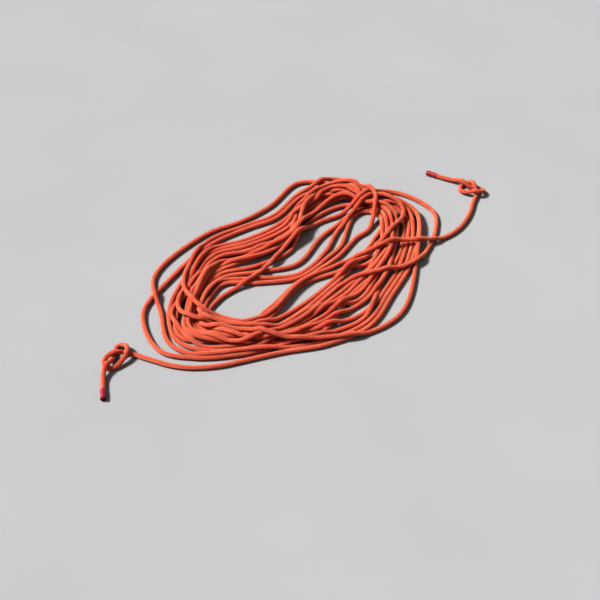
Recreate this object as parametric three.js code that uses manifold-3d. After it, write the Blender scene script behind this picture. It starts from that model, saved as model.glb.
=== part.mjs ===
// A 10 mm dynamic climbing rope, flaked into a loose oval coil on the floor. Each end
// leaves the coil as a short lead, is tied in an overhand knot and ends in a capped tail.
// Millimetres, +Z up, the floor at z = 0 and the coil's long axis near +X.

import Module from 'manifold-3d';
import * as THREE from 'three';
import { mergeVertices } from 'three/addons/utils/BufferGeometryUtils.js';

const wasm = await Module();
wasm.setup();

// Rope: a woven sheath over seven core cords and a tracer tape.
const ROPE_DIAMETER = 10;
const ROPE_RADIUS = ROPE_DIAMETER / 2;
const SHEATH_BORE_RADIUS = 3.9;
const CORE_CORD_RADIUS = 1;
const CORE_RING_RADIUS = 2.3;
const OUTER_CORE_CORDS = 6;
const TRACER_WIDTH = 0.7;
const TRACER_THICKNESS = 0.2;
const TRACER_RADIUS = 3.25;
const GAP = 0.3;

// Ends: a heat-shrink cap round the last of the rope, and the melted end inside it.
const CAP_BORE_RADIUS = 5.35;
const CAP_RADIUS = 5.95;
const CAP_LENGTH = 25;
const CAP_OVERHANG = 2;
const CAP_LIP = 0.25;
const FUSED_RADIUS = 4.6;
const FUSED_LENGTH = 1.4;
const TAIL_LENGTH = 72;
const KNOT_END_CLEARANCE = 4;

// Coil: the outer shape of the flaked turns, three ropes high.
const COIL_HEIGHT = 3 * ROPE_DIAMETER;
const COIL_EDGE_RADIUS = 6;
const OUTLINE_STEPS = 3;

// Faceting of the tubes.
const SHEATH_SIDES = 10;
const CORE_SIDES = 5;
const ROUND_SIDES = 20;
const LEAD_STEP = 24;
const KNOT_STEP = 11;
const TAIL_STEP = 13;

// Outline of the coil, anticlockwise, and its two openings.
const COIL_OUTLINE = [
  [-326, -118], [-284, -162], [-230, -178], [-140, -212], [-72, -240], [0, -253],
  [62, -252], [124, -232], [187, -191], [243, -142], [307, -108], [358, -64],
  [390, -5], [396, 52], [368, 108], [341, 155], [299, 211], [250, 238],
  [207, 250], [155, 254], [102, 237], [44, 206], [-51, 222], [-116, 217],
  [-208, 192], [-265, 166], [-318, 114], [-350, 70], [-366, 25], [-368, -23], [-357, -66],
];
const LEFT_OPENING = [
  [-216, 29], [-159, 49], [-103, 32], [-64, -4], [-42, -48],
  [-77, -68], [-133, -77], [-177, -67], [-211, -42], [-225, -13],
];
const RIGHT_OPENING = [
  [42, -30], [25, 15], [87, 70], [152, 92], [208, 78], [221, 42], [167, 3], [107, -16],
];

// Centre line of each end: out of the coil, round its overhand knot and along its tail.
const LEFT_ROUTE = [
  [-285, -146, 5], [-315, -131, 5], [-347, -109, 5], [-374, -80, 5], [-394, -49, 5],
  [-406, -30, 5], [-415, -14, 5], [-425, -1, 5], [-436, 4, 10.5], [-449, 6, 17],
  [-461, 9, 12.5], [-472, 7, 7], [-479, -4, 5], [-477, -16, 5], [-466, -22, 5.5],
  [-452, -20, 8], [-438, -15, 13], [-426, -6, 16.5], [-419, 8, 13.5], [-421, 20, 9],
  [-432, 25, 6], [-443, 16, 5], [-454, 3, 5.5], [-467, -7, 11.5], [-479, -14, 17],
  [-488, -21, 13], [-495, -30, 9], [-501, -39, 6.5], [-509, -53, 6], [-517, -67, 6],
  [-525, -82, 6],
];
const RIGHT_ROUTE = [
  [285, -95, 17], [325, -107, 11], [362, -109, 5.5], [396, -102, 5], [428, -88, 5],
  [455, -71, 5], [475, -55, 5], [491, -45, 5], [502, -37, 5.5], [508, -27, 11],
  [512, -16, 17], [517, -6, 13.5], [518, 4, 8.5], [510, 11, 5], [499, 9, 5],
  [489, 5, 5], [482, -4, 5], [483, -17, 7.5], [490, -28, 12.5], [498, -37, 17],
  [508, -43, 13.5], [519, -42, 9], [524, -32, 5.5], [518, -22, 5], [510, -13, 5.5],
  [503, -3, 11], [499, 8, 17], [496, 20, 13.5], [491, 32, 9], [485, 44, 6.5],
  [478, 57, 6], [472, 69, 6], [466.5, 80.5, 6], [461, 92, 6],
];
const LEFT_KNOT_START = 185;
const RIGHT_KNOT_START = 228;

// A whole centre line, smooth through its points and never below the floor.
class RopeRoute extends THREE.Curve {
  constructor(points) {
    super();
    this.arcLengthDivisions = 800;
    this.spline = new THREE.CatmullRomCurve3(points.map((p) => new THREE.Vector3(...p)));
  }

  getPoint(t, target = new THREE.Vector3()) {
    this.spline.getPoint(t, target);
    target.z = Math.max(target.z, ROPE_RADIUS);
    return target;
  }
}

// The part of a centre line between two distances from its start.
class Stretch extends THREE.Curve {
  constructor(route, start, end) {
    super();
    this.route = route;
    this.start = start / route.getLength();
    this.end = end / route.getLength();
  }

  getPoint(t, target = new THREE.Vector3()) {
    return this.route.getPointAt(THREE.MathUtils.lerp(this.start, this.end, t), target);
  }
}

function polygon(radius, sides, centre = [0, 0]) {
  const points = [];
  for (let side = 0; side < sides; side += 1) {
    const angle = (2 * Math.PI * side) / sides;
    points.push(new THREE.Vector2(
      centre[0] + radius * Math.cos(angle),
      centre[1] + radius * Math.sin(angle),
    ));
  }
  return points;
}

function tube(shape, stretch, step) {
  const steps = Math.max(1, Math.round(stretch.getLength() / step));
  return new THREE.ExtrudeGeometry(shape, { steps, extrudePath: stretch, bevelEnabled: false });
}

function closedOutline(points) {
  const corners = points.map(([x, y]) => new THREE.Vector3(x, y, 0));
  const spline = new THREE.CatmullRomCurve3(corners, true);
  const smooth = spline.getPoints(points.length * OUTLINE_STEPS);
  return smooth.slice(0, -1).map((p) => new THREE.Vector2(p.x, p.y));
}

function toSolid(geometry) {
  const bare = geometry.clone();
  bare.deleteAttribute('normal');
  bare.deleteAttribute('uv');
  const merged = mergeVertices(bare, 1e-4);
  return new wasm.Manifold(new wasm.Mesh({
    numProp: 3,
    vertProperties: Float32Array.from(merged.attributes.position.array),
    triVerts: Uint32Array.from(merged.index.array),
  }));
}

function toGeometry(solid) {
  const mesh = solid.getMesh();
  const geometry = new THREE.BufferGeometry();
  geometry.setAttribute('position', new THREE.BufferAttribute(mesh.vertProperties, 3));
  geometry.setIndex(new THREE.BufferAttribute(mesh.triVerts, 1));
  geometry.computeVertexNormals();
  return geometry;
}

const MATERIALS = {
  sheath: new THREE.MeshStandardMaterial({ color: 0xe8502c, roughness: 0.85, metalness: 0 }),
  core: new THREE.MeshStandardMaterial({ color: 0xf1ede2, roughness: 0.8, metalness: 0 }),
  tracer: new THREE.MeshStandardMaterial({ color: 0x2a5caa, roughness: 0.5, metalness: 0 }),
  fused: new THREE.MeshStandardMaterial({ color: 0x7a1f1a, roughness: 0.35, metalness: 0 }),
  cap: new THREE.MeshStandardMaterial({ color: 0xc81f4c, roughness: 0.2, metalness: 0 }),
};

const rope = new THREE.Group();

function addPiece(name, geometry, material) {
  const mesh = new THREE.Mesh(geometry, MATERIALS[material].clone());
  mesh.name = name;
  rope.add(mesh);
  return mesh;
}

// The coil, with a pocket of GAP clearance for each lead that dives into it.
function addCoil(routes) {
  const shape = new THREE.Shape(closedOutline(COIL_OUTLINE));
  shape.holes = [LEFT_OPENING, RIGHT_OPENING].map((hole) => new THREE.Path(closedOutline(hole)));
  const body = new THREE.ExtrudeGeometry(shape, {
    depth: COIL_HEIGHT - 2 * COIL_EDGE_RADIUS,
    bevelThickness: COIL_EDGE_RADIUS,
    bevelSize: COIL_EDGE_RADIUS,
    bevelOffset: -COIL_EDGE_RADIUS,
    bevelSegments: 2,
  });
  body.translate(0, 0, COIL_EDGE_RADIUS);
  let solid = toSolid(body);
  for (const route of routes) {
    const pocket = new THREE.Shape(polygon(ROPE_RADIUS + GAP, SHEATH_SIDES));
    const buried = new Stretch(route, 0, 4 * LEAD_STEP);
    solid = solid.subtract(toSolid(tube(pocket, buried, LEAD_STEP)));
  }
  addPiece('rope_coil', toGeometry(solid), 'sheath');
}

function addCoreCords(side, tail) {
  for (let cord = 0; cord <= OUTER_CORE_CORDS; cord += 1) {
    const angle = (2 * Math.PI * cord) / OUTER_CORE_CORDS;
    const reach = cord < OUTER_CORE_CORDS ? CORE_RING_RADIUS : 0;
    const centre = [reach * Math.cos(angle), reach * Math.sin(angle)];
    const section = new THREE.Shape(polygon(CORE_CORD_RADIUS, CORE_SIDES, centre));
    addPiece(`${side}_core_cord_${cord + 1}`, tube(section, tail, TAIL_STEP), 'core');
  }
}

// The tape lies in the groove between two outer core cords, flat against the sheath.
function addTracer(side, tail) {
  const angle = Math.PI / OUTER_CORE_CORDS;
  const corners = [[-1, -1], [1, -1], [1, 1], [-1, 1]].map(([depth, across]) => {
    const corner = new THREE.Vector2(
      TRACER_RADIUS + (depth * TRACER_THICKNESS) / 2,
      (across * TRACER_WIDTH) / 2,
    );
    return corner.rotateAround(new THREE.Vector2(), angle);
  });
  addPiece(`${side}_tracer_tape`, tube(new THREE.Shape(corners), tail, TAIL_STEP), 'tracer');
}

// Pieces turned about the rope's own line: +Y of the profile points out of the rope's end.
function addTurned(name, profile, material, route) {
  const points = profile.map(([radius, along]) => new THREE.Vector2(radius, along));
  const piece = addPiece(name, new THREE.LatheGeometry(points, ROUND_SIDES), material);
  piece.position.copy(route.getPointAt(1));
  piece.quaternion.setFromUnitVectors(new THREE.Vector3(0, 1, 0), route.getTangentAt(1));
}

function addEndPieces(side, route) {
  const mouth = CAP_OVERHANG - CAP_LENGTH;
  addTurned(`${side}_end_cap`, [
    [CAP_BORE_RADIUS, mouth],
    [CAP_RADIUS - CAP_LIP, mouth],
    [CAP_RADIUS, mouth + CAP_LIP],
    [CAP_RADIUS, CAP_OVERHANG - CAP_LIP],
    [CAP_RADIUS - CAP_LIP, CAP_OVERHANG],
    [CAP_BORE_RADIUS, CAP_OVERHANG],
    [CAP_BORE_RADIUS, mouth],
  ], 'cap', route);
  addTurned(`${side}_fused_end`, [
    [0, GAP],
    [FUSED_RADIUS, GAP],
    [FUSED_RADIUS, GAP + FUSED_LENGTH / 2],
    [FUSED_RADIUS * 0.7, GAP + FUSED_LENGTH],
    [0, GAP + FUSED_LENGTH],
  ], 'fused', route);
}

function addEnd(side, route, knotStart) {
  const total = route.getLength();
  const tailStart = total - TAIL_LENGTH;
  const section = new THREE.Shape(polygon(ROPE_RADIUS, SHEATH_SIDES));
  const lead = new Stretch(route, GAP, knotStart);
  const knot = new Stretch(route, knotStart + GAP, tailStart);
  const tail = new Stretch(route, tailStart + GAP, total);
  addPiece(`${side}_lead`, tube(section, lead, LEAD_STEP), 'sheath');
  addPiece(`${side}_knot`, tube(section, knot, KNOT_STEP), 'sheath');
  const sleeve = new THREE.Shape(polygon(ROPE_RADIUS, SHEATH_SIDES));
  sleeve.holes = [new THREE.Path(polygon(SHEATH_BORE_RADIUS, SHEATH_SIDES))];
  addPiece(`${side}_tail_sheath`, tube(sleeve, tail, TAIL_STEP), 'sheath');
  addCoreCords(side, tail);
  addTracer(side, tail);
  addEndPieces(side, route);
}

const leftRoute = new RopeRoute(LEFT_ROUTE);
const rightRoute = new RopeRoute(RIGHT_ROUTE);
addCoil([leftRoute, rightRoute]);
addEnd('left', leftRoute, LEFT_KNOT_START);
addEnd('right', rightRoute, RIGHT_KNOT_START);

export default rope;
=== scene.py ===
"""A 10 mm dynamic climbing rope, flaked into a loose oval coil on a pale floor.

The whole rope is one line: up from its left end, round that end's overhand knot, sixteen
times and a part of a turn round the coil, then round the right knot to its right end. The
coil's turns sink until they lie on the floor and on each other, and the rope's sheath is a
mesh tube round that line.
"""
import math

import bpy
import numpy as np
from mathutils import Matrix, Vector


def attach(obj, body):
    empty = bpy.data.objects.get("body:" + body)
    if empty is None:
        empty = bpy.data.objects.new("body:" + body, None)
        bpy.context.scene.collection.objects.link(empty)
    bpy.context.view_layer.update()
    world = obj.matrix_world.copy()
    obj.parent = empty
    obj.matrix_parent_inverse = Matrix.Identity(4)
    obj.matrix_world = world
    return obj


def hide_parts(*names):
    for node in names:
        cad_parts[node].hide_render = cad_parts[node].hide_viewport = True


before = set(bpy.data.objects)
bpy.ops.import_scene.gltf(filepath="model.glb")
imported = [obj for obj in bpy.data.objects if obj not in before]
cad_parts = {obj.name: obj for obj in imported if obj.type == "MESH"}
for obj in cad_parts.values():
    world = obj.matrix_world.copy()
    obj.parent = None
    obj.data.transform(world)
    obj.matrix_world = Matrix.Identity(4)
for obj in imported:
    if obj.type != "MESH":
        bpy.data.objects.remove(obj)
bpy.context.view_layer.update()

# ---- Camera ---------------------------------------------------------------------------
CAMERA_AIM = Vector((-0.043, -0.079, 0))
CAMERA_DISTANCE = 2.55
CAMERA_HEIGHT_ANGLE = math.radians(44)
CAMERA_HEADING = math.radians(54)
CAMERA_LENS = 71.2
TOWARDS_CAMERA = np.array([-math.cos(CAMERA_HEADING), -math.sin(CAMERA_HEADING)])

# ---- Rope -----------------------------------------------------------------------------
MM = 0.001
ROPE_DIAMETER = 0.010
ROPE_RADIUS = ROPE_DIAMETER / 2
END_OVERRUN = 0.0002
RING_SPACING = 0.0042
RING_SIDES = 12

# ---- Its ends -------------------------------------------------------------------------
CAP_BORE_RADIUS = 0.00535
CAP_RADIUS = 0.00595
CAP_LENGTH = 0.025
CAP_OVERHANG = 0.002
CAP_SIDES = 48
CAP_RINGS = 44
CAP_RIPPLE = 0.00009
# Its ripple has two waves, given in radians over the length of the cap.
CAP_LONG_WAVE = 31
CAP_SHORT_WAVE = 73
CAP_SHORT_WAVE_SIZE = 0.6
CAP_MOUTH_STEPS = 6
FUSED_RADIUS = 0.0046
FUSED_START = 0.0003
FUSED_LENGTH = 0.0014
FUSED_BEAD_RADIUS = 0.0006
FUSED_BEAD_START = 0.0005
FUSED_BEAD_STEPS = 8
FUSED_DIP_RADIUS_SHARE = 0.55
FUSED_DIP_HEIGHT_SHARE = 0.72
FUSED_TOP_HEIGHT_SHARE = 0.9
FUSED_SIDES = 32

# ---- Route ----------------------------------------------------------------------------
# Centre line of each end, from the coil, round its knot and along its tail, in metres.
LEFT_ROUTE = [
    (-0.285, -0.146, 0.005), (-0.315, -0.131, 0.005), (-0.347, -0.109, 0.005),
    (-0.374, -0.080, 0.005), (-0.394, -0.049, 0.005), (-0.406, -0.030, 0.005),
    (-0.415, -0.014, 0.005), (-0.425, -0.001, 0.005), (-0.436, 0.004, 0.0105),
    (-0.449, 0.006, 0.017), (-0.461, 0.009, 0.0125), (-0.472, 0.007, 0.007),
    (-0.479, -0.004, 0.005), (-0.477, -0.016, 0.005), (-0.466, -0.022, 0.0055),
    (-0.452, -0.020, 0.008), (-0.438, -0.015, 0.013), (-0.426, -0.006, 0.0165),
    (-0.419, 0.008, 0.0135), (-0.421, 0.020, 0.009), (-0.432, 0.025, 0.006),
    (-0.443, 0.016, 0.005), (-0.454, 0.003, 0.0055), (-0.467, -0.007, 0.0115),
    (-0.479, -0.014, 0.017), (-0.488, -0.021, 0.013), (-0.495, -0.030, 0.009),
    (-0.501, -0.039, 0.0065), (-0.509, -0.053, 0.006), (-0.517, -0.067, 0.006),
    (-0.525, -0.082, 0.006),
]
RIGHT_ROUTE = [
    (0.285, -0.095, 0.017), (0.325, -0.107, 0.011), (0.362, -0.109, 0.0055),
    (0.396, -0.102, 0.005), (0.428, -0.088, 0.005), (0.455, -0.071, 0.005),
    (0.475, -0.055, 0.005), (0.491, -0.045, 0.005), (0.502, -0.037, 0.0055),
    (0.508, -0.027, 0.011), (0.512, -0.016, 0.017), (0.517, -0.006, 0.0135),
    (0.518, 0.004, 0.0085), (0.510, 0.011, 0.005), (0.499, 0.009, 0.005),
    (0.489, 0.005, 0.005), (0.482, -0.004, 0.005), (0.483, -0.017, 0.0075),
    (0.490, -0.028, 0.0125), (0.498, -0.037, 0.017), (0.508, -0.043, 0.0135),
    (0.519, -0.042, 0.009), (0.524, -0.032, 0.0055), (0.518, -0.022, 0.005),
    (0.510, -0.013, 0.0055), (0.503, -0.003, 0.011), (0.499, 0.008, 0.017),
    (0.496, 0.020, 0.0135), (0.491, 0.032, 0.009), (0.485, 0.044, 0.0065),
    (0.478, 0.057, 0.006), (0.472, 0.069, 0.006), (0.4665, 0.0805, 0.006),
    (0.461, 0.092, 0.006),
]
# How much rope at each end, its knot and tail, stays as it is laid here.
LEFT_KEPT = 0.350
RIGHT_KEPT = 0.330

# The coil crosses seventeen lines in turn, anticlockwise. Each has its inner point, in
# metres, and the heading, in degrees, in which it runs outwards across the rope.
STATIONS = [
    (-0.217, 0.000, 225), (-0.178, -0.066, 232), (-0.119, -0.079, 249), (-0.018, -0.035, 250),
    (0.098, -0.021, 250), (0.173, -0.007, 254), (0.217, 0.005, 279), (0.258, 0.056, 324),
    (0.243, 0.075, 12), (0.165, 0.051, 54), (0.119, 0.067, 69), (0.000, -0.032, 72),
    (-0.086, 0.007, 67), (-0.158, 0.035, 71), (-0.208, 0.055, 117), (-0.231, -0.005, 144),
    (-0.224, -0.010, 191),
]
# Where each turn crosses those lines, in millimetres out from the inner point. A later
# turn lies over an earlier one. The first turn starts at the second line, where the left
# end comes in, and the last stops at the seventh, where the right end goes out. These are
# places as the camera sees them at LANE_HEIGHT, so rope that lies higher lies nearer to it.
TURNS = [
    (117, 118, 199, 226, 186, 126, 96, 44, 127, 90, 163, 130, 117, 30, 64, 92),
    (95, 55, 95, 170, 125, 105, 55, 28, 40, 127, 92, 115, 111, 89, 28, 33, 73),
    (84, 35, 62, 102, 149, 110, 64, 41, 32, 112, 112, 130, 87, 63, 18, 77, 81),
    (108, 72, 78, 150, 188, 165, 101, 76, 38, 134, 138, 210, 184, 151, 86, 137, 147),
    (140, 98, 101, 172, 202, 143, 97, 68, 50, 152, 184, 252, 212, 187, 118, 98, 120),
    (134, 92, 109, 188, 214, 176, 117, 84, 44, 112, 80, 142, 112, 98, 20, 46, 76),
    (88, 60, 64, 108, 108, 92, 60, 30, 25, 82, 56, 122, 87, 78, 6, 30, 52),
    (66, 48, 42, 80, 60, 38, 20, 45, 36, 143, 98, 174, 140, 126, 54, 80, 98),
    (112, 78, 70, 120, 126, 102, 64, 36, 30, 163, 104, 97, 60, 52, -2, 24, 44),
    (60, 44, 10, 14, 46, 76, 52, 24, 16, 19, -15, 48, 41, 42, -6, 18, 34),
    (50, 54, 75, 130, 149, 131, 66, 45, 24, 118, 72, 132, 103, 89, 12, 38, 62),
    (76, 66, 58, 100, 94, 84, 40, 17, -10, -62, -82, 5, 5, 22, -18, 12, 40),
    (53, 38, 88, 180, 237, 239, 134, 97, 46, 148, 115, 186, 150, 134, 38, 56, 34),
    (37, 17, 22, 66, 53, 54, 47, 77, 46, 4, -60, 16, 20, 31, -12, 15, 26),
    (33, 24, 48, 90, 78, 118, 141, 145, 98, 54, 37, 114, 30, -8, -38, 2, 12),
    (22, 14, -15, 2, 0, -15, -8, 9, 48, 184, 155, 222, 197, 166, 44, 8, 6),
    (15, 8, 0, 9, 19, 47, 72),
]
FIRST_STATION = 1
LANE_HEIGHT = 0.010

# ---- Settling -------------------------------------------------------------------------
# Each step lowers the rope by its drop, draws it towards its planned place, evens it out
# and pushes touching strands apart. The last CLEAR_STEPS let go of the plan little by
# little, so that strands which still overlap can part. TOUCH is the distance between the
# centres of two strands that touch, and reaches are counted in points but for ORDER_REACH.
POINT_SPACING = 0.0065
SPLINE_STEPS = 24
TOUCH = 0.0102
NEIGHBOURS_SKIPPED = 3
SEARCH_MARGIN = 0.005
SEARCH_EVERY = 12
SEARCH_BLOCK = 512
SETTLE_STEPS = 600
CLEAR_STEPS = 160
FIRST_DROP = 0.0004
LAST_DROP = 0.00015
ROUTE_PULL = 0.02
HIGHEST_CENTRE = 0.0355
HIGHEST_START = 0.110
LOWERING_PACE = 1.5
STEEPEST = 0.35
SIDEWAYS_REACHES = (3, 8, 16)
SIDEWAYS_STIFFNESS = 0.5
UPWARD_REACHES = (1, 2)
UPWARD_STIFFNESS = 0.3
STIFFNESS_KEPT = 0.2
TIGHTEST_BEND = 0.045
BEND_REACHES = (1, 2, 4)
PUSHES = 3
PUSH_SHARE = 1.5
ORDER_LIFT = 0.014
ORDER_REACH = 0.007
LONGEST_PUSH = 0.003


def smooth_line(points):
    """A centripetal Catmull-Rom line through points, straight on at both ends."""
    points = np.asarray(points, float)
    before = 2 * points[0] - points[1]
    after = 2 * points[-1] - points[-2]
    points = np.vstack([before, points, after])
    stretches = []
    for first in range(len(points) - 3):
        a, b, c, d = points[first:first + 4]
        at_b = math.sqrt(np.linalg.norm(b - a))
        at_c = at_b + math.sqrt(np.linalg.norm(c - b))
        at_d = at_c + math.sqrt(np.linalg.norm(d - c))
        t = np.linspace(at_b, at_c, SPLINE_STEPS, endpoint=False)[:, None]
        ab = a + (b - a) * t / at_b
        bc = b + (c - b) * (t - at_b) / (at_c - at_b)
        cd = c + (d - c) * (t - at_c) / (at_d - at_c)
        abc = ab + (bc - ab) * t / at_c
        bcd = bc + (cd - bc) * (t - at_b) / (at_d - at_b)
        stretches.append(abc + (bcd - abc) * (t - at_b) / (at_c - at_b))
    line = np.vstack(stretches + [points[-2][None]])
    line[:, 2] = np.maximum(line[:, 2], ROPE_RADIUS)
    return line


def distances(line):
    """How far along the line each of its points is."""
    return np.concatenate([[0], np.cumsum(np.linalg.norm(np.diff(line, axis=0), axis=1))])


def evenly_spaced(line, spacing):
    """The line again, with its points that far apart."""
    along = distances(line)
    count = int(round(along[-1] / spacing)) + 1
    places = np.linspace(0, along[-1], count)
    return np.stack([np.interp(places, along, line[:, axis]) for axis in range(3)], axis=1)


def coil_points():
    """Every crossing of a turn and a station, in the order in which the rope reaches them."""
    points = []
    for number, turn in enumerate(TURNS):
        first = FIRST_STATION if number == 0 else 0
        for (x, y, heading), lane in zip(STATIONS[first:], turn):
            angle = math.radians(heading)
            out = lane * MM
            points.append((x + out * math.cos(angle), y + out * math.sin(angle), LANE_HEIGHT))
    return points


def planned_line():
    """The rope's whole centre line before it settles, and which of its points are kept."""
    points = LEFT_ROUTE[::-1] + coil_points() + RIGHT_ROUTE
    line = evenly_spaced(smooth_line(points), POINT_SPACING)
    along = distances(line)
    kept = (along < LEFT_KEPT) | (along > along[-1] - RIGHT_KEPT)
    return line, kept


def stacked(plan, kept):
    """Lays the rope down from its first point, over what is there already, never steeply."""
    line = plan.copy()
    rise = STEEPEST * POINT_SPACING
    for index in np.flatnonzero(~kept):
        earlier = line[:max(0, index - NEIGHBOURS_SKIPPED)]
        apart = ((earlier[:, :2] - line[index, :2]) ** 2).sum(axis=1)
        under = apart < TOUCH ** 2
        height = max(ROPE_RADIUS, line[index - 1, 2] - rise)
        if under.any():
            height = max(height, (earlier[under, 2] + np.sqrt(TOUCH ** 2 - apart[under])).max())
        line[index, 2] = height
        before = index - 1
        while not kept[before] and line[before, 2] < height - rise:
            height -= rise
            line[before, 2] = height
            before -= 1
    return line


def close_pairs(line):
    """Pairs of points that touch, or could within a few steps, leaving out neighbours."""
    square = (line ** 2).sum(axis=1)
    reach = (TOUCH + SEARCH_MARGIN) ** 2
    firsts = []
    seconds = []
    for start in range(0, len(line), SEARCH_BLOCK):
        block = line[start:start + SEARCH_BLOCK]
        apart = square[start:start + SEARCH_BLOCK, None] + square[None] - 2 * block @ line.T
        first, second = np.nonzero(apart < reach)
        first = first + start
        ahead = second > first + NEIGHBOURS_SKIPPED
        firsts.append(first[ahead])
        seconds.append(second[ahead])
    return np.concatenate(firsts), np.concatenate(seconds)


def push_apart(line, pairs):
    """Moves touching points apart, half each, the later one upwards if one is over the other."""
    first, second = pairs
    between = line[second] - line[first]
    apart = np.maximum(np.linalg.norm(between, axis=1), 1e-6)
    overlap = np.clip(TOUCH - apart, 0, LONGEST_PUSH)
    level = np.hypot(between[:, 0], between[:, 1])
    between[:, 2] += ORDER_LIFT * np.maximum(0, 1 - level / ORDER_REACH)
    between /= np.maximum(np.linalg.norm(between, axis=1), 1e-6)[:, None]
    push = between * (overlap / 2)[:, None]
    touching = (overlap > 0).astype(float)
    count = len(line)
    contacts = np.bincount(first, touching, count) + np.bincount(second, touching, count)
    share = PUSH_SHARE / np.maximum(contacts, 1)
    for axis in range(3):
        moved = np.bincount(second, push[:, axis], count)
        moved = moved - np.bincount(first, push[:, axis], count)
        line[:, axis] += share * moved
    line[:, 2] = np.maximum(line[:, 2], ROPE_RADIUS)


def ease(offset, reaches, share):
    """Evens out how far points are from the plan, over short and long stretches of rope."""
    for reach in reaches:
        middle = (offset[:-2 * reach] + offset[2 * reach:]) / 2
        eased = offset.copy()
        eased[reach:-reach] += (middle - offset[reach:-reach]) * share
        offset = eased
    return offset


def limit_bends(line, step):
    """Opens every bend that is tighter than the rope would lie in."""
    for reach in BEND_REACHES:
        middle = (line[:-2 * reach] + line[2 * reach:]) / 2
        bow = middle - line[reach:-reach]
        depth = np.maximum(np.linalg.norm(bow, axis=1), 1e-9)
        allowed = (reach * step) ** 2 / (2 * TIGHTEST_BEND)
        excess = bow * np.maximum(0, 1 - allowed / depth)[:, None]
        line[reach:-reach] += excess / 2
        line[:-2 * reach] -= excess / 4
        line[2 * reach:] -= excess / 4


def keep_length(line, step):
    """Two sweeps that bring neighbouring points back to their distance."""
    for start in (0, 1):
        first = line[start:-1:2]
        second = line[start + 1::2]
        between = second - first[:len(second)]
        apart = np.linalg.norm(between, axis=1)[:, None]
        pull = between * ((apart - step) / apart / 4)
        first[:len(second)] += pull
        second -= pull


def settled(plan, kept):
    """The rope's centre line once its turns lie on the floor and on each other."""
    line = stacked(plan, kept)
    base = plan.copy()
    base[:, 2] = ROPE_RADIUS
    step = np.linalg.norm(np.diff(plan, axis=0), axis=1).mean()
    for number in range(SETTLE_STEPS + CLEAR_STEPS):
        if number % SEARCH_EVERY == 0:
            pairs = close_pairs(line)
        done = min(1, number / SETTLE_STEPS)
        clearing = max(0, number - SETTLE_STEPS) / CLEAR_STEPS
        line[:, 2] -= FIRST_DROP + (LAST_DROP - FIRST_DROP) * done
        lean = (line[:, 2:] - plan[:, 2:]) * TOWARDS_CAMERA / math.tan(CAMERA_HEIGHT_ANGLE)
        line[:, :2] += (base[:, :2] + lean - line[:, :2]) * ROUTE_PULL * (1 - clearing)
        share = 1 - (1 - STIFFNESS_KEPT) * clearing
        offset = line - base
        sideways = ease(offset[:, :2], SIDEWAYS_REACHES, SIDEWAYS_STIFFNESS * share)
        upward = ease(offset[:, 2:], UPWARD_REACHES, UPWARD_STIFFNESS * share)
        line = base + np.hstack([sideways, upward])
        limit_bends(line, step)
        keep_length(line, step)
        for _ in range(PUSHES):
            push_apart(line, pairs)
        ceiling = HIGHEST_START + (HIGHEST_CENTRE - HIGHEST_START) * min(1, LOWERING_PACE * done)
        line[:, 2] = np.clip(line[:, 2], ROPE_RADIUS, ceiling)
        line[kept] = plan[kept]
    return line


def rope_line():
    """The finished centre line, at the spacing of the sheath's rings."""
    plan, kept = planned_line()
    line = smooth_line(settled(plan, kept))
    line = evenly_spaced(line, RING_SPACING)
    first = line[0] - line[1]
    last = line[-1] - line[-2]
    line[0] += first / np.linalg.norm(first) * END_OVERRUN
    line[-1] += last / np.linalg.norm(last) * END_OVERRUN
    return line


# ---- Camera, made ---------------------------------------------------------------------

def make_camera():
    """The photo's viewpoint, as estimated."""
    data = bpy.data.cameras.new("camera")
    data.lens = CAMERA_LENS
    camera = bpy.data.objects.new("camera", data)
    bpy.context.scene.collection.objects.link(camera)
    level = math.cos(CAMERA_HEIGHT_ANGLE)
    looking = Vector((
        level * math.cos(CAMERA_HEADING),
        level * math.sin(CAMERA_HEADING),
        -math.sin(CAMERA_HEIGHT_ANGLE),
    ))
    camera.location = CAMERA_AIM - looking * CAMERA_DISTANCE
    camera.rotation_euler = looking.to_track_quat("-Z", "Y").to_euler()
    bpy.context.scene.camera = camera


# ---- Meshes ---------------------------------------------------------------------------
UV_MAP = "around_and_along"


def add_piece(name, vertices, faces, material):
    """A smooth-shaded mesh with one material."""
    mesh = bpy.data.meshes.new(name)
    mesh.from_pydata([tuple(v) for v in vertices], [], faces)
    mesh.validate()
    mesh.update()
    mesh.polygons.foreach_set("use_smooth", [True] * len(mesh.polygons))
    mesh.materials.append(material)
    piece = bpy.data.objects.new(name, mesh)
    bpy.context.scene.collection.objects.link(piece)
    return piece


def carried_frames(line):
    """Two directions across the line at each point, which turn with it and never twist."""
    tangents = np.gradient(line, axis=0)
    tangents /= np.linalg.norm(tangents, axis=1)[:, None]
    across = np.cross(tangents[0], (0.0, 0.0, 1.0))
    sides = []
    for tangent in tangents:
        across = across - tangent * across.dot(tangent)
        across = across / np.linalg.norm(across)
        sides.append(across)
    sides = np.array(sides)
    return sides, np.cross(tangents, sides)


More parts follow.
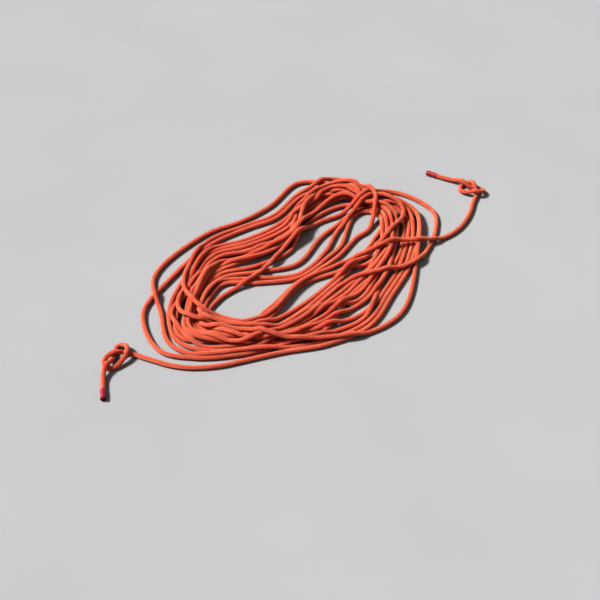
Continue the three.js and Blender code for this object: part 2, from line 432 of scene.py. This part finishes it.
def make_rope(line, material):
    """The woven sheath: a closed tube round the line, with its UV map in turns and metres."""
    sides, ups = carried_frames(line)
    angles = np.arange(RING_SIDES) * 2 * math.pi / RING_SIDES
    sideways = sides[:, None] * np.cos(angles)[None, :, None]
    upwards = ups[:, None] * np.sin(angles)[None, :, None]
    vertices = (line[:, None] + (sideways + upwards) * ROPE_RADIUS).reshape(-1, 3)
    along = distances(line)
    faces = []
    uvs = []
    for row in range(len(line) - 1):
        for side in range(RING_SIDES):
            after = (side + 1) % RING_SIDES
            here = row * RING_SIDES
            there = here + RING_SIDES
            faces.append((here + side, here + after, there + after, there + side))
            left = side / RING_SIDES
            right = (side + 1) / RING_SIDES
            behind = along[row]
            ahead = along[row + 1]
            uvs += [left, behind, right, behind, right, ahead, left, ahead]
    last = (len(line) - 1) * RING_SIDES
    faces.append(tuple(range(RING_SIDES))[::-1])
    uvs += [0.0, along[0]] * RING_SIDES
    faces.append(tuple(last + side for side in range(RING_SIDES)))
    uvs += [0.0, along[-1]] * RING_SIDES
    rope = add_piece("rope_sheath", vertices, faces, material)
    layer = rope.data.uv_layers.new(name=UV_MAP)
    layer.data.foreach_set("uv", uvs)
    return rope


def turned_piece(name, profile, origin, axis, sides, material):
    """A closed profile of (radius, distance along the axis) turned about that axis."""
    turn = Vector((0, 0, 1)).rotation_difference(Vector(axis))
    vertices = []
    faces = []
    for side in range(sides):
        angle = 2 * math.pi * side / sides
        for radius, along in profile:
            point = Vector((radius * math.cos(angle), radius * math.sin(angle), along))
            vertices.append(Vector(origin) + turn @ point)
    count = len(profile)
    for side in range(sides):
        here = side * count
        there = ((side + 1) % sides) * count
        for step in range(count):
            after = (step + 1) % count
            faces.append((here + step, there + step, there + after, here + after))
    return add_piece(name, vertices, faces, material)


def cap_profile():
    """The sleeve's wall: rippled where it shrank on to the weave, rounded over at both mouths."""
    mouth = CAP_OVERHANG - CAP_LENGTH
    wall = CAP_RADIUS - CAP_BORE_RADIUS
    profile = []
    for step in range(CAP_RINGS + 1):
        share = step / CAP_RINGS
        along = mouth + wall / 2 + share * (CAP_LENGTH - wall)
        long_wave = math.sin(share * CAP_LONG_WAVE)
        short_wave = math.sin(share * CAP_SHORT_WAVE + 1)
        ripple = CAP_RIPPLE * (long_wave + CAP_SHORT_WAVE_SIZE * short_wave)
        profile.append((CAP_RADIUS - 2 * CAP_RIPPLE + ripple, along))
    centre = CAP_RADIUS - wall / 2
    outer_mouth = CAP_OVERHANG - wall / 2
    inner_mouth = mouth + wall / 2
    for step in range(1, CAP_MOUTH_STEPS):
        angle = math.pi * step / CAP_MOUTH_STEPS
        radius = centre + wall / 2 * math.cos(angle)
        profile.append((radius, outer_mouth + wall / 2 * math.sin(angle)))
    profile.append((CAP_BORE_RADIUS, outer_mouth))
    profile.append((CAP_BORE_RADIUS, inner_mouth))
    for step in range(1, CAP_MOUTH_STEPS):
        angle = math.pi * step / CAP_MOUTH_STEPS
        radius = centre - wall / 2 * math.cos(angle)
        profile.append((radius, inner_mouth - wall / 2 * math.sin(angle)))
    return profile


def make_cap(side, end, axis, material):
    """The heat-shrink sleeve over one end of the rope."""
    cap = turned_piece(side + "_shrink_cap", cap_profile()[::-1], end, axis, CAP_SIDES, material)
    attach(cap, "root")
    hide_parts(side + "_end_cap")
    return cap


def make_fused_end(side, end, axis, material):
    """The melted end of the core and sheath: a low dome with a bead round its rim."""
    profile = [(0.0, FUSED_START), (FUSED_RADIUS, FUSED_START)]
    for step in range(FUSED_BEAD_STEPS + 1):
        angle = math.pi / 2 * step / FUSED_BEAD_STEPS
        radius = FUSED_RADIUS - FUSED_BEAD_RADIUS + FUSED_BEAD_RADIUS * math.cos(angle)
        rise = FUSED_START + FUSED_BEAD_START + FUSED_BEAD_RADIUS * math.sin(angle)
        profile.append((radius, rise))
    dip = FUSED_START + FUSED_LENGTH * FUSED_DIP_HEIGHT_SHARE
    profile.append((FUSED_RADIUS * FUSED_DIP_RADIUS_SHARE, dip))
    profile.append((0.0, FUSED_START + FUSED_LENGTH * FUSED_TOP_HEIGHT_SHARE))
    vertices = []
    faces = []
    turn = Vector((0, 0, 1)).rotation_difference(Vector(axis))
    rings = profile[1:-1]
    vertices.append(Vector(end) + turn @ Vector((0, 0, profile[0][1])))
    for radius, along in rings:
        for spoke in range(FUSED_SIDES):
            angle = 2 * math.pi * spoke / FUSED_SIDES
            point = Vector((radius * math.cos(angle), radius * math.sin(angle), along))
            vertices.append(Vector(end) + turn @ point)
    vertices.append(Vector(end) + turn @ Vector((0, 0, profile[-1][1])))
    top = len(vertices) - 1
    last = 1 + (len(rings) - 1) * FUSED_SIDES
    for spoke in range(FUSED_SIDES):
        after = (spoke + 1) % FUSED_SIDES
        faces.append((0, 1 + after, 1 + spoke))
        faces.append((last + spoke, last + after, top))
        for row in range(len(rings) - 1):
            here = 1 + row * FUSED_SIDES
            there = here + FUSED_SIDES
            faces.append((here + spoke, here + after, there + after, there + spoke))
    fused = add_piece(side + "_melted_end", vertices, faces, material)
    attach(fused, "root")
    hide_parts(side + "_fused_end")
    return fused


# ---- Materials ------------------------------------------------------------------------
CARRIERS = 16
BRAID_LAY = 0.040


def colour(red, green, blue):
    """A display colour, 0 to 255, as the linear colour that a shader takes."""
    linear = []
    for value in (red, green, blue):
        share = value / 255
        linear.append(share / 12.92 if share <= 0.04045 else ((share + 0.055) / 1.055) ** 2.4)
    return (*linear, 1.0)


class Recipe:
    """A material's node tree, with short ways to add nodes to it."""

    def __init__(self, name):
        self.material = bpy.data.materials.new(name)
        self.material.use_nodes = True
        self.tree = self.material.node_tree
        self.shader = self.tree.nodes["Principled BSDF"]

    def set(self, name, value):
        """Sets a constant on the shader, or links a socket to it."""
        if isinstance(value, bpy.types.NodeSocket):
            self.tree.links.new(value, self.shader.inputs[name])
        else:
            self.shader.inputs[name].default_value = value

    def feed(self, node, inputs):
        for key, value in inputs.items():
            if isinstance(value, bpy.types.NodeSocket):
                self.tree.links.new(value, node.inputs[key])
            else:
                node.inputs[key].default_value = value

    def maths(self, operation, first, second=0.0, third=0.0):
        node = self.tree.nodes.new("ShaderNodeMath")
        node.operation = operation
        self.feed(node, {0: first, 1: second, 2: third})
        return node.outputs[0]

    def noise(self, vector, scale, detail=3.0):
        node = self.tree.nodes.new("ShaderNodeTexNoise")
        self.feed(node, {"Vector": vector, "Scale": scale, "Detail": detail})
        return node.outputs["Fac"]

    def ranged(self, value, low, high, new_low, new_high):
        node = self.tree.nodes.new("ShaderNodeMapRange")
        self.feed(node, {
            "Value": value, "From Min": low, "From Max": high,
            "To Min": new_low, "To Max": new_high,
        })
        return node.outputs["Result"]

    def blended(self, share, first, second):
        node = self.tree.nodes.new("ShaderNodeMix")
        node.data_type = "RGBA"
        self.feed(node, {0: share, 6: first, 7: second})
        return node.outputs[2]

    def bump(self, height, distance, strength, under=None):
        node = self.tree.nodes.new("ShaderNodeBump")
        self.feed(node, {"Height": height, "Distance": distance, "Strength": strength})
        if under is not None:
            self.tree.links.new(under, node.inputs["Normal"])
        return node.outputs["Normal"]

    def place(self):
        """Where a point is on the object, in metres."""
        return self.tree.nodes.new("ShaderNodeTexCoord").outputs["Object"]

    def around_and_along(self):
        """Turns round the rope, and metres along it."""
        node = self.tree.nodes.new("ShaderNodeUVMap")
        node.uv_map = UV_MAP
        parts = self.tree.nodes.new("ShaderNodeSeparateXYZ")
        self.tree.links.new(node.outputs["UV"], parts.inputs[0])
        return parts.outputs["X"], parts.outputs["Y"]


def ridge(recipe, value):
    """A round ridge, 0 at each whole number and 1 half way between."""
    share = recipe.maths("FRACT", value)
    centred = recipe.maths("MULTIPLY_ADD", share, 2.0, -1.0)
    return recipe.maths("SUBTRACT", 1.0, recipe.maths("MULTIPLY", centred, centred))


def braid_height(recipe, around, along):
    """The sheath's strands: two helices that pass over and under each other."""
    turned = recipe.maths("MULTIPLY", around, float(CARRIERS))
    carried = recipe.maths("MULTIPLY", along, CARRIERS / BRAID_LAY)
    right = recipe.maths("ADD", turned, carried)
    left = recipe.maths("SUBTRACT", turned, carried)
    right_ridge = ridge(recipe, right)
    left_ridge = ridge(recipe, left)
    squares = recipe.maths("ADD", recipe.maths("FLOOR", right), recipe.maths("FLOOR", left))
    over = recipe.maths("PINGPONG", squares, 1.0)
    right_lift = recipe.maths("MULTIPLY_ADD", left_ridge, 0.4, 0.6)
    right_over = recipe.maths("MULTIPLY", right_ridge, right_lift)
    left_lift = recipe.maths("MULTIPLY_ADD", right_ridge, 0.4, 0.6)
    left_over = recipe.maths("MULTIPLY", left_ridge, left_lift)
    step = recipe.maths("SUBTRACT", right_over, left_over)
    return recipe.maths("MULTIPLY_ADD", step, over, left_over)


def sheath_material():
    """Woven polyamide: bright orange strands, painted shade in deep crimson between them, a soft
    fuzz over all.
    """
    recipe = Recipe("woven_sheath")
    around, along = recipe.around_and_along()
    place = recipe.place()
    height = braid_height(recipe, around, along)
    # Painted shade: where the braid is low, between the strands, the colour goes to deep crimson;
    # the raised strands are bright orange.
    raised = recipe.ranged(height, 0.3, 0.8, 0.0, 1.0)
    strands = recipe.blended(raised, colour(146, 0, 24), colour(254, 120, 82))
    faded = recipe.ranged(recipe.noise(place, 9.0), 0.35, 0.65, 0.0, 0.35)
    # Random fading at a large scale over the strand colours, which still carry the painted shade
    # between the strands.
    worn_and_gap_shaded = recipe.blended(faded, strands, colour(253, 134, 98))
    fibres = recipe.ranged(recipe.noise(place, 1400.0, 2.0), 0.3, 0.7, 0.0, 0.3)
    recipe.set("Base Color", recipe.blended(fibres, worn_and_gap_shaded, colour(214, 30, 28)))
    recipe.set("Roughness", recipe.ranged(height, 0.0, 1.0, 0.5, 0.4))
    recipe.set("Specular IOR Level", 1.0)
    recipe.set("Subsurface Weight", 1.0)
    recipe.set("Subsurface Radius", (1.0, 0.08, 0.06))
    recipe.set("Subsurface Scale", 0.007)
    recipe.set("Sheen Weight", 0.8)
    recipe.set("Sheen Roughness", 0.45)
    recipe.set("Sheen Tint", colour(255, 218, 180))
    fuzz = recipe.bump(recipe.noise(place, 2200.0, 2.0), 0.0002, 0.35)
    recipe.set("Normal", recipe.bump(height, 0.0013, 1.0, fuzz))
    return recipe.material


def cap_material():
    """Glossy heat-shrink sleeve, with the weave showing faintly through."""
    recipe = Recipe("shrink_cap")
    place = recipe.place()
    cloud = recipe.ranged(recipe.noise(place, 160.0), 0.35, 0.65, 0.0, 1.0)
    recipe.set("Base Color", recipe.blended(cloud, colour(132, 4, 34), colour(172, 12, 48)))
    recipe.set("Roughness", recipe.ranged(recipe.noise(place, 420.0), 0.3, 0.7, 0.25, 0.4))
    recipe.set("Specular IOR Level", 1.0)
    recipe.set("Coat Weight", 1.0)
    recipe.set("Coat Roughness", 0.2)
    recipe.set("Normal", recipe.bump(recipe.noise(place, 700.0), 0.0002, 0.3))
    return recipe.material


def fused_material():
    """Sheath and core melted together: dark, glassy and uneven."""
    recipe = Recipe("melted_end")
    place = recipe.place()
    cloud = recipe.ranged(recipe.noise(place, 500.0), 0.35, 0.65, 0.0, 1.0)
    recipe.set("Base Color", recipe.blended(cloud, colour(92, 16, 12), colour(168, 46, 26)))
    recipe.set("Roughness", recipe.ranged(recipe.noise(place, 900.0), 0.3, 0.7, 0.25, 0.5))
    recipe.set("Normal", recipe.bump(recipe.noise(place, 800.0), 0.0003, 0.6))
    return recipe.material


def core_material():
    """White twisted polyamide yarn."""
    recipe = Recipe("core_yarn")
    place = recipe.place()
    twist = recipe.tree.nodes.new("ShaderNodeTexWave")
    twist.wave_type = "BANDS"
    twist.bands_direction = "DIAGONAL"
    recipe.feed(twist, {"Vector": place, "Scale": 260.0, "Distortion": 2.0, "Detail": 2.0})
    fac = twist.outputs["Fac"]
    recipe.set("Base Color", recipe.blended(fac, colour(206, 200, 186), colour(244, 241, 232)))
    recipe.set("Roughness", recipe.ranged(recipe.noise(place, 600.0), 0.3, 0.7, 0.6, 0.85))
    recipe.set("Sheen Weight", 0.3)
    recipe.set("Normal", recipe.bump(fac, 0.0002, 0.6))
    return recipe.material


def tracer_material():
    """Thin blue tape with fine lengthwise drawing lines."""
    recipe = Recipe("tracer_tape")
    place = recipe.place()
    lines = recipe.noise(place, 1800.0, 2.0)
    recipe.set("Base Color", recipe.blended(lines, colour(24, 66, 140), colour(60, 110, 190)))
    recipe.set("Roughness", recipe.ranged(lines, 0.3, 0.7, 0.35, 0.6))
    recipe.set("Normal", recipe.bump(lines, 0.0001, 0.4))
    return recipe.material


def floor_material():
    """A plain pale floor, very slightly mottled."""
    recipe = Recipe("pale_floor")
    mottle = recipe.noise(recipe.place(), 3.0)
    recipe.set("Base Color", recipe.blended(mottle, colour(160, 160, 161), colour(166, 166, 167)))
    recipe.set("Roughness", 0.9)
    recipe.set("Specular IOR Level", 0.2)
    return recipe.material


def dress_inner_nodes():
    """The core cords and the tracer keep their CAD shapes and get their own materials."""
    yarn = core_material()
    tape = tracer_material()
    for name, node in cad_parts.items():
        if "core_cord" in name:
            node.material_slots[0].material = yarn
        if "tracer_tape" in name:
            node.material_slots[0].material = tape


# ---- Studio ---------------------------------------------------------------------------
FLOOR_HALF_SIDE = 60.0
KEY_FROM = (-2.4, 2.56, 3.7)
KEY_ANGLE = math.radians(12)
KEY_STRENGTH = 3.7
FILL_PLACE = (0.6, -2.2, 2.2)
FILL_SIZE = 2.5
FILL_POWER = 3
WORLD_STRENGTH = 0.23


def add_light(name, kind, place, strength):
    """A light at that place that points at the middle of the coil."""
    data = bpy.data.lights.new(name, kind)
    data.energy = strength
    light = bpy.data.objects.new(name, data)
    bpy.context.scene.collection.objects.link(light)
    light.location = place
    light.rotation_euler = (-Vector(place)).to_track_quat("-Z", "Y").to_euler()
    return data


def make_studio():
    """A wide pale floor, a sun from the left and a little behind, a weak fill and an even sky."""
    half = FLOOR_HALF_SIDE
    corners = [(-half, -half, 0), (half, -half, 0), (half, half, 0), (-half, half, 0)]
    add_piece("floor", corners, [(0, 1, 2, 3)], floor_material())
    key = add_light("key", "SUN", KEY_FROM, KEY_STRENGTH)
    key.angle = KEY_ANGLE
    fill = add_light("fill", "AREA", FILL_PLACE, FILL_POWER)
    fill.shape = "DISK"
    fill.size = FILL_SIZE
    world = bpy.data.worlds.new("studio")
    world.use_nodes = True
    background = world.node_tree.nodes["Background"]
    background.inputs["Color"].default_value = (1.0, 1.0, 1.0, 1.0)
    background.inputs["Strength"].default_value = WORLD_STRENGTH
    bpy.context.scene.world = world
    bpy.context.scene.view_settings.view_transform = "Standard"
    bpy.context.scene.view_settings.look = "Very High Contrast"


# ---- The rope, put together -----------------------------------------------------------
def make_rope_and_ends():
    """The sheath along the whole line, and a cap and a melted end at both of its ends."""
    line = rope_line()
    rope = make_rope(line, sheath_material())
    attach(rope, "root")
    replaced = ["rope_coil"]
    cap_look = cap_material()
    fused_look = fused_material()
    ends = {"left": (line[0], line[1]), "right": (line[-1], line[-2])}
    for side, (end, before) in ends.items():
        axis = (end - before) / np.linalg.norm(end - before)
        end = end - axis * END_OVERRUN
        make_cap(side, end, axis, cap_look)
        make_fused_end(side, end, axis, fused_look)
        replaced += [side + "_lead", side + "_knot", side + "_tail_sheath"]
    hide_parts(*replaced)


make_camera()
make_rope_and_ends()
dress_inner_nodes()
make_studio()
